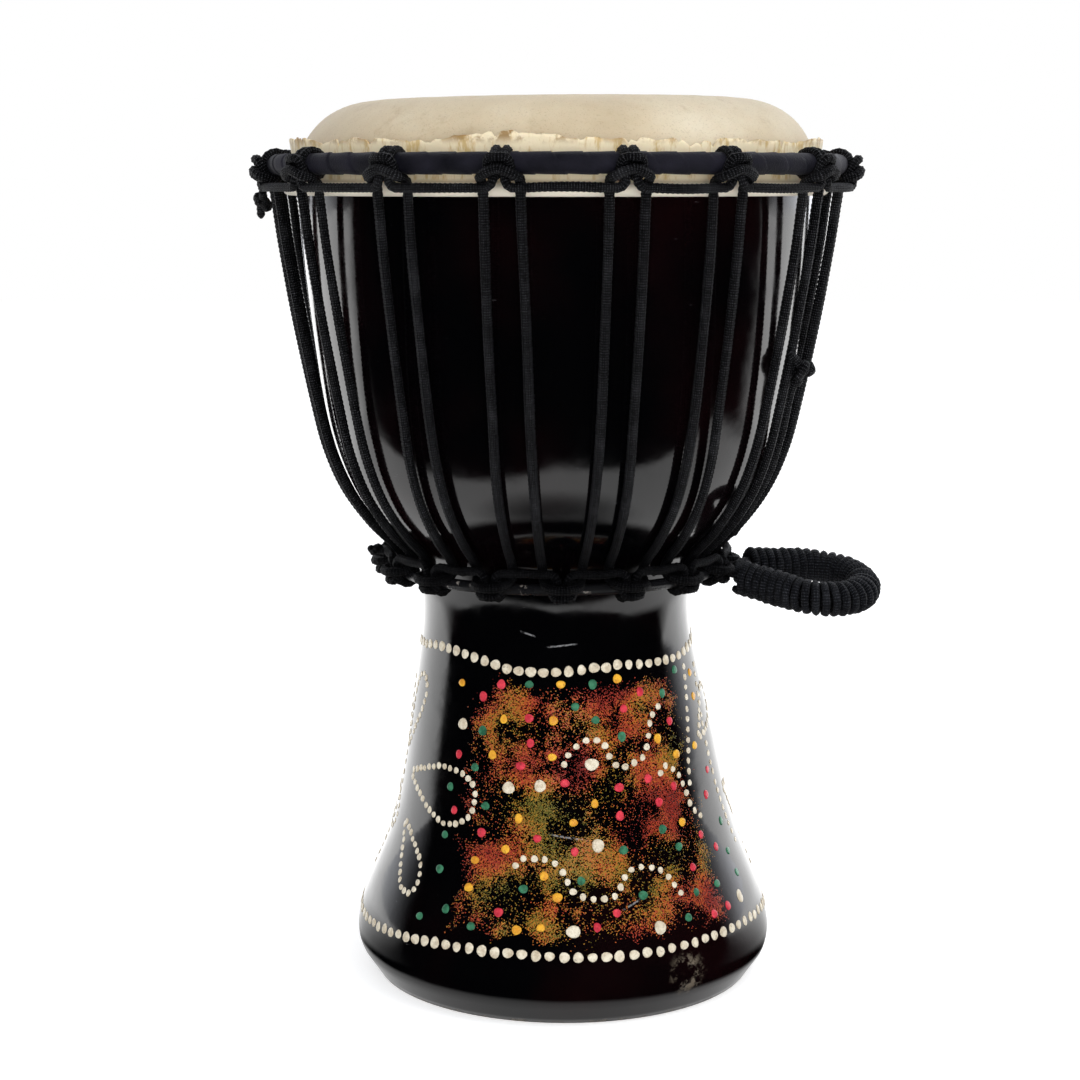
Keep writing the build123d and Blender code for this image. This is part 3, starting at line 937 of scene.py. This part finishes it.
def rope_material(name, dark, light, sheen, low):
    """Braided cord: crossing diagonal yarns along the rope's own length, with fine fibres and painted
    highlights on the yarn crests.

    Low is the share of the light tone that is left at the height of the bottom ring, which paints shade on
    the ropes there.
    """
    made, tree, shader, where = material(name)
    uv = node(tree, "ShaderNodeUVMap", uv_map="rope_uv").outputs[0]
    axes = xyz(tree, uv)
    along = times(tree, axes["X"], 2 * pi / braid_pitch * 2)
    around = times(tree, axes["Y"], 2 * pi * braid_carriers * 2)
    one = math(tree, "SINE", plus(tree, along, around))
    other = math(tree, "SINE", minus(tree, along, around))
    yarns = times(tree, one, other)
    fibres = blotches(tree, where, 2400, 3.0, 0.7)
    dusty = blotches(tree, where, 75, 4.0)
    # painted highlights: the light tone on the yarn crests, broken up by the fibres, stands for glints of
    # light on the braid
    painted_glint_tips = math(tree, "POWER", math(tree, "MAXIMUM", yarns, 0.0), 3.2)
    share = times(tree, painted_glint_tips, fade(tree, fibres, 0.40, 0.58, 0.0, 1.0))
    share = plus(tree, share, fade(tree, dusty, 0.50, 0.75, 0.0, 0.06), True)
    # painted shade: the ropes round the bottom ring keep only a share of their painted highlights
    height = xyz(tree, where)["Z"]
    share = times(tree, share, fade(tree, height, 0.202, 0.226, low, 1.0))
    wire(tree, shader, Base_Color=mix(tree, share, (*dark, 1), (*light, 1)))
    relief = plus(tree, times(tree, yarns, 0.35), fibres)
    wire(tree, shader, Normal=bump(tree, relief, 0.0005, 0.9))
    wire(tree, shader, Roughness=fade(tree, fibres, 0.3, 0.7, 0.55, 0.85))
    shader.inputs["Sheen Weight"].default_value = sheen
    shader.inputs["Sheen Roughness"].default_value = 0.4
    shader.inputs["Specular IOR Level"].default_value = 0.22
    return made


# the second tone of each rope is the colour of its painted highlights, and the last number is the share of
# them kept at the bottom ring
black_rope = rope_material(
    "braided_rope", (0.0006, 0.0006, 0.0010), (0.155, 0.158, 0.175), 0.0, 0.35
)
grip_rope = rope_material(
    "handle_rope", (0.0022, 0.0025, 0.0040), (0.140, 0.150, 0.175), 0.02, 1.0
)

# ---- cradle ropes: a cow hitch round the ring at every station ----

hitch_half = 8.2
top_run = (132.2, 363.4)
bottom_run = (78.9, 198.6)


def local_points(azimuth, ring_radius, ring_height, shapes):
    """Points by (sideways, outward, upward) from the ring's middle at an azimuth, in millimetres."""
    placed = []
    for sideways, outward, upward in shapes:
        radius = ring_radius + outward
        placed.append(at(azimuth + degrees(sideways / radius), radius, ring_height + upward))
    return placed


def hitch_shape(turn, bridge_out, bridge_up, run_out, run_up):
    """One hitch, left to right: up past the bridge, over and behind the ring, out below and across.

    Upward counts away from the level run, and every length is in millimetres.
    """
    left = [
        (-hitch_half, run_out, run_up), (-4.9, run_out + 0.3, run_up + 0.2),
        (-2.9, run_out + 0.9, run_up * 0.80), (-2.2, turn + 0.4, run_up * 0.45), (-2.1, turn, 0.0),
        (-2.1, turn * 0.7, turn * 0.7), (-2.1, 0.0, turn), (-2.1, -turn * 0.7, turn * 0.7),
        (-2.1, -turn, 0.0), (-2.4, -turn * 0.68, -turn * 0.74), (-3.4, 0.0, -turn * 1.02),
        (-4.2, turn * 0.72, -turn * 0.80), (-4.6, turn * 1.22, -turn * 0.14),
        (-3.6, bridge_out - 0.9, bridge_up * 0.85),
    ]
    right = [(-sideways, outward, upward) for sideways, outward, upward in reversed(left)]
    return left + [(0.0, bridge_out, bridge_up)] + right


def cradle(ring_radius, ring_height, hitch, azimuths, run, flip, seed):
    """The whole closed route of a cradle rope round its ring."""
    run_radius, run_height = run
    rng = random.Random(seed)
    route = []
    for number, azimuth in enumerate(azimuths):
        shape = [(s, o, flip * u) for s, o, u in hitch]
        route.extend(local_points(azimuth, ring_radius, ring_height, shape))
        following = azimuths[(number + 1) % stations] + (360 if number == stations - 1 else 0)
        reach = degrees(hitch_half / run_radius)
        sag = rng.uniform(-0.5, 0.5)
        for share in (0.25, 0.5, 0.75):
            between = azimuth + reach + (following - azimuth - 2 * reach) * share
            bend = sin(pi * share)
            route.append(at(between, run_radius + 0.25 * bend, run_height + sag * bend))
    return route


top_hitch = hitch_shape(5.3, 8.9, 2.3, top_run[0] - crown_radius, top_run[1] - crown_height)
top_route = cradle(crown_radius, crown_height, top_hitch, top_azimuths, top_run, 1, 31)
rope("top_cradle", [(top_route, 1.85, True)], "drum", black_rope, ["top_cradle_rope"])

run_out = bottom_run[0] - ring_radius
bottom_hitch = hitch_shape(4.35, 7.5, 2.7, run_out, ring_height - bottom_run[1])
bottom_route = cradle(ring_radius, ring_height, bottom_hitch, bottom_azimuths, bottom_run, -1, 32)
rope(
    "bottom_cradle", [(bottom_route, 1.8, True)], "drum", black_rope,
    ["bottom_cradle_rope"],
)

# ---- lacing: one rope, up and down sixteen times ----

# half of a span by (azimuth from its upper hitch, radius, height)
upper_half = [
    (0.0, 136.4, 370.8), (1.7, 136.2, 369.7), (2.95, 134.7, 368.2), (3.5, 131.2, 367.2),
    (3.5, 128.0, 365.2), (3.4, 126.7, 358.5), (3.4, 123.9, 338.0), (3.5, 117.6, 302.0),
    (3.55, 110.7, 268.0), (3.8, 105.2, 246.5), (4.05, 97.2, 227.9), (4.35, 85.4, 211.4),
    (4.6, 76.2, 201.9),
]
# round the bottom, by (azimuth short of the lower hitch, radius, height)
lower_half = [
    (6.4, 73.6, 196.8), (5.7, 76.6, 193.9), (4.3, 81.4, 192.9), (1.9, 83.6, 192.5), (0.0, 83.9, 192.4),
]
laced = random.Random(17)


def lacing_half(upper, lower, side):
    """Route from the middle of an upper bend to the middle of the lower one beside it."""
    low_side = lower - upper
    middle = side * station_step / 2
    shift = low_side - middle
    bow = laced.uniform(-0.35, 0.35)
    route = []
    for number, (offset, radius, height) in enumerate(upper_half):
        share = max(0.0, (365.0 - height) / 170.0)
        bend = bow * sin(pi * min(1.0, share / 0.95))
        route.append(at(upper + side * offset + shift * share + bend, radius, height))
    for offset, radius, height in lower_half:
        route.append(at(lower - side * offset, radius, height))
    return route


lacing_route = []
for number in range(stations):
    upper = top_azimuths[number]
    left_low = bottom_azimuths[number - 1] - (360 if number == 0 else 0)
    climb = lacing_half(upper, left_low, -1)[::-1]
    fall = lacing_half(upper, bottom_azimuths[number], 1)
    lacing_route.extend(climb[:-1] + fall[:-1])
spans = [f"lacing_rope_{number + 1:02d}" for number in range(stations)]
_, lacing_length = rope(
    "lacing_rope", [(lacing_route, 2.0, True)], "drum", black_rope, spans
)
print("lacing rope length", round(lacing_length, 3))

# ---- tail and knots ----


def knot_route(centre, size, tilt, first, last):
    """An overhand knot drawn tight: a small trefoil, with its two ends led out."""
    middle = np.array(centre)
    route = []
    for step in range(25):
        t = 0.35 + (2 * pi - 0.7) * step / 24
        x = (sin(t) + 2 * sin(2 * t)) * size / 3
        y = (cos(t) - 2 * cos(2 * t)) * size / 3
        z = -sin(3 * t) * size / 2.6
        a = radians(tilt)
        turned = (x * cos(a) - z * sin(a) * 0.4, y * 0.75, z * cos(a) + x * sin(a))
        route.append(middle + np.array(turned) * MM)
    return [first, *route, last]


join = at(63.9, 118.6, 284.4)
tail_points = [
    at(63.9, 117.0, 282.0), at(64.4, 113.8, 276.0), at(66.2, 108.0, 254.5), at(68.4, 100.8, 235.5),
    at(70.8, 88.6, 215.4), at(72.0, 83.4, 207.6),
]
rope("tail_of_lacing", [(tail_points, 1.9, False)], "drum", black_rope, ["tail_rope"])
knots = (
    ("knot_join", "join_knot", join, 4.9, 20, at(60.6, 115.0, 293.0), at(64.0, 117.5, 277.5), 2.0),
    (
        "knot_top_end", "top_end_knot", at(-86.0, 132.6, 356.8), 3.4, -35, at(-83.0, 132.4, 362.6),
        at(-87.5, 133.5, 349.5), 1.8,
    ),
    (
        "knot_bottom_end", "bottom_end_knot", at(-80.0, 84.0, 199.3), 2.5, 10, at(-77.0, 79.6, 199.0),
        at(-83.0, 85.6, 197.6), 1.5,
    ),
)
for name, replaced, centre, size, tilt, first, last, radius in knots:
    route = knot_route(centre, size, tilt, first, last)
    rope(name, [(route, radius, False)], "drum", black_rope, [replaced], 14, 0.7 * MM)

# ---- handle ----

handle_azimuth = 80.0
hinge = at(handle_azimuth, ring_radius, ring_height)
a = radians(handle_azimuth)
outward = np.array((sin(a), -cos(a), 0))
sideways = np.array((cos(a), sin(a), 0))
loop_x = turn_about(outward, sideways, radians(7.0))
loop_normal = turn_about(np.cross(loop_x, sideways), loop_x, radians(10.0))
loop_y = np.cross(loop_normal, loop_x)
loop_root = 12.5
root_half = 8.8
loop_centre = 46.5
loop_bend = 21.0
reach = loop_centre - loop_root
span = hypot(reach, root_half)
tangent_run = sqrt(span**2 - loop_bend**2)
slope = asin(loop_bend / span) - atan2(root_half, reach)
bend_start = (loop_root + tangent_run * cos(slope), root_half + tangent_run * sin(slope))


def on_loop(x, y, z=0.0):
    """A point in the handle's own plane, in millimetres from the hinge."""
    return hinge + (loop_x * x + loop_y * y + loop_normal * z) * MM


def loop_line():
    """The handle's middle line: one leg, the bend and the other leg."""
    turn_from = 90 + degrees(slope)
    leg = np.linspace((loop_root, root_half), bend_start, 8)
    bend_arc = arc((loop_centre, 0), loop_bend, turn_from, -turn_from, 25)
    flat = np.vstack([leg[:-1], bend_arc, leg[::-1][1:] * (1, -1)])
    return [on_loop(x, y) for x, y in flat]


loop_points = loop_line()
middle_line, loop_length = curve_through(loop_points, False, 0.25 * MM)
tangents, side = rope_frames(middle_line, False)
up = np.cross(tangents, side)
winding_pitch = 3.8 * MM
wound = 6.25 * MM
run = np.linspace(0, loop_length, len(middle_line))
phase = 2 * pi * run / winding_pitch
lumpy = 1 + 0.03 * np.sin(run / 0.009) + 0.02 * np.sin(run / 0.0037 + 1)
around = side * np.cos(phase)[:, None] + up * np.sin(phase)[:, None]
helix = middle_line + around * (wound * lumpy)[:, None]
rope(
    "handle_winding_rope", [(helix[::2], 1.78, False)], "handle", grip_rope,
    ["handle_winding"], 12, 0.9 * MM,
)

eye_turn = 4.6
core_routes = [(loop_points, 4.0, False)]
for sign in (-1, 1):
    centre = hinge + sideways * sign * 1.75 * MM
    eye = []
    for step in range(12):
        angle = 2 * pi * step / 12
        eye.append(centre + (outward * cos(angle) + np.array((0, 0, 1)) * sin(angle)) * eye_turn * MM)
    core_routes.append((eye, 1.7, True))
    neck_far = on_loop(loop_root + 1.5, sign * root_half)
    neck = [centre + loop_x * 4.3 * MM, centre * 0.5 + neck_far * 0.5, neck_far]
    core_routes.append((neck, 1.8, False))
rope("handle_core_rope", core_routes, "handle", black_rope, ["handle_core"], 14, 0.8 * MM)

# lashing that gathers the two legs at the root
lashing = []
lashing_root = 9.8
for step in range(97):
    turned = 2 * pi * 4 * step / 96
    x = lashing_root + 4.6 * step / 96
    half = 8.2 + 0.71 * (x - lashing_root)
    lashing.append(on_loop(x + 0.4 * sin(turned * 2), half * cos(turned), 3.7 * sin(turned)))
rope("handle_lashing", [(lashing, 1.35, False)], "handle", grip_rope, None, 12, 0.8 * MM)
